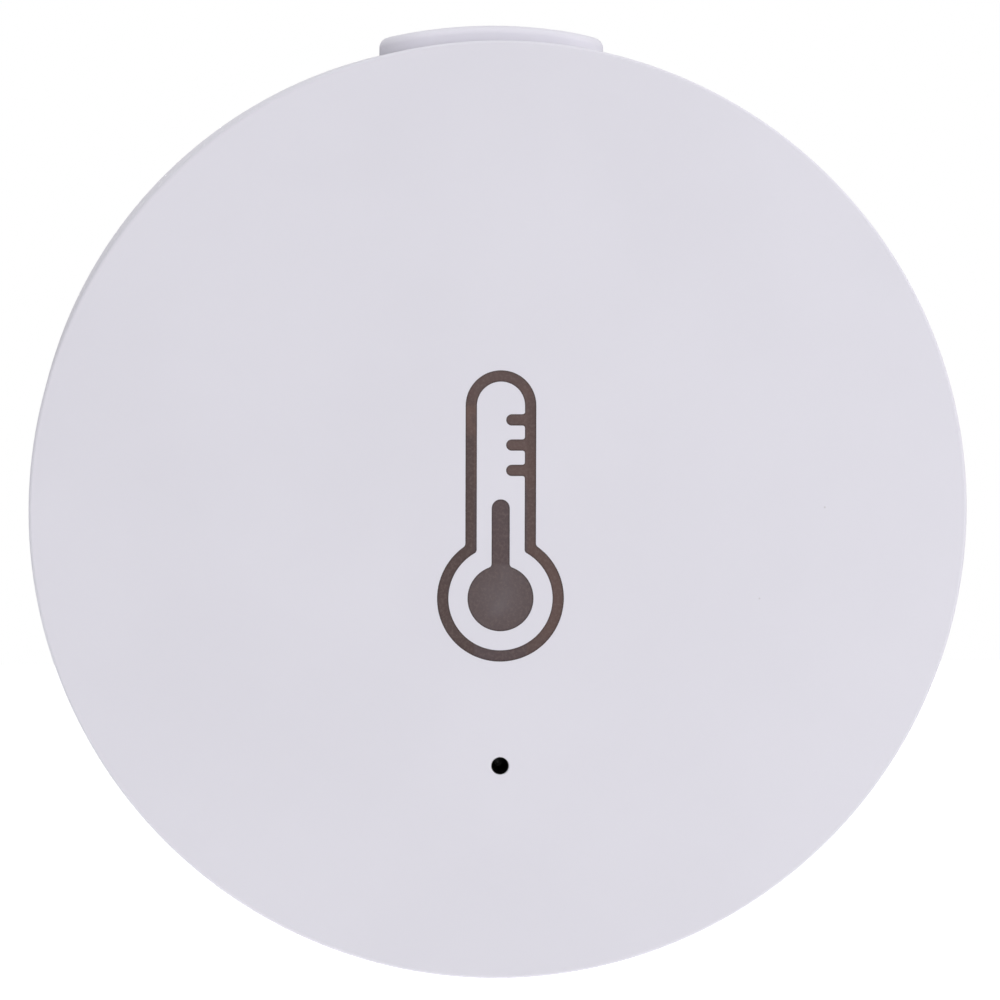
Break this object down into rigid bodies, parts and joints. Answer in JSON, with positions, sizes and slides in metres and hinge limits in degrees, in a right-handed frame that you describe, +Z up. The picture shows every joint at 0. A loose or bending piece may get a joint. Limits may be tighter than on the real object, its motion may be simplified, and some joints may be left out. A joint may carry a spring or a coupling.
{
  "type": "wireless temperature and humidity sensor",
  "caption": "Round white wall-mounted wireless temperature and humidity sensor with a push button on the rim and a thermometer pictogram on the face.",
  "frame": {"origin": "centre of the adhesive ring's wall side, in the plane of the wall", "axes": "+Y points into the wall, the face looks along -Y, +Z is up with the push button at the top, +X is to the right as seen from the front"},
  "size_m": [0.036, 0.0119, 0.0366],
  "materials": {
    "white_shell": "fine matte white moulding",
    "brown_foil": "satin dark brown foil",
    "clear_plastic": "clear",
    "black_mesh": "woven",
    "grey_foam": "closed-cell foam",
    "sensor_black": "matte",
    "green_board": "solder mask over glass fibre",
    "chip_black": "matte",
    "crystal_can": "brushed",
    "capacitor_tan": "fired",
    "led_white": "clear cast",
    "gold_copper": "gold plated copper",
    "zinc_steel": "zinc plated",
    "black_plastic": "matte",
    "spring_steel": "bright rolled",
    "tinned_metal": "tinned",
    "cell_steel": "bright rolled",
    "seal_plastic": "matte",
    "cathode_pellet": "pressed powder",
    "white_fleece": "fleece",
    "lithium_metal": "soft matt metal",
    "adhesive_foam": "foam tape"
  },
  "bodies": {
    "casing": {"front_shell": "white_shell", "thermometer_print": "brown_foil", "light_guide": "clear_plastic", "dust_mesh": "black_mesh", "sensor_gasket": "grey_foam", "humidity_sensor": "sensor_black", "circuit_board": "green_board", "radio_chip": "chip_black", "memory_chip": "chip_black", "crystals": "crystal_can", "capacitors": "capacitor_tan", "resistors": "chip_black", "status_led": "led_white", "antenna": "gold_copper", "test_pads": "gold_copper", "board_screws": "zinc_steel", "switch_housing": "black_plastic", "switch_frame": "zinc_steel", "switch_dome": "spring_steel", "switch_terminals": "tinned_metal", "negative_contact": "spring_steel", "positive_contact": "spring_steel", "cell_can": "cell_steel", "cell_cap": "cell_steel", "cell_gasket": "seal_plastic", "cell_cathode": "cathode_pellet", "cell_separator": "white_fleece", "cell_anode": "lithium_metal", "rear_shell": "white_shell", "adhesive_ring": "adhesive_foam"},
    "button": {"button_key": "white_shell"},
    "plunger": {"switch_plunger": "black_plastic"},
    "cover": {"battery_cover": "white_shell", "cover_cushion": "grey_foam"}
  },
  "joints": [
    {"name": "button_press", "type": "slide", "parent": "casing", "child": "button", "axis": [0, 0, -1], "range_m": [0, 0.00025], "stiffness_N_per_m": 2500, "springref_m": -0.0003},
    {"name": "plunger_slide", "type": "slide", "parent": "casing", "child": "plunger", "axis": [0, 0, -1], "range_m": [0, 0.00025], "deforming": ["switch_dome"]},
    {"name": "cover_twist", "type": "hinge", "parent": "casing", "child": "cover", "pos_m": [0, 0, 0], "axis": [0, 1, 0], "range_deg": [0, 35]}
  ],
  "couplings": [
    {"joint": "plunger_slide", "follows": "button_press", "ratio": 1}
  ]
}
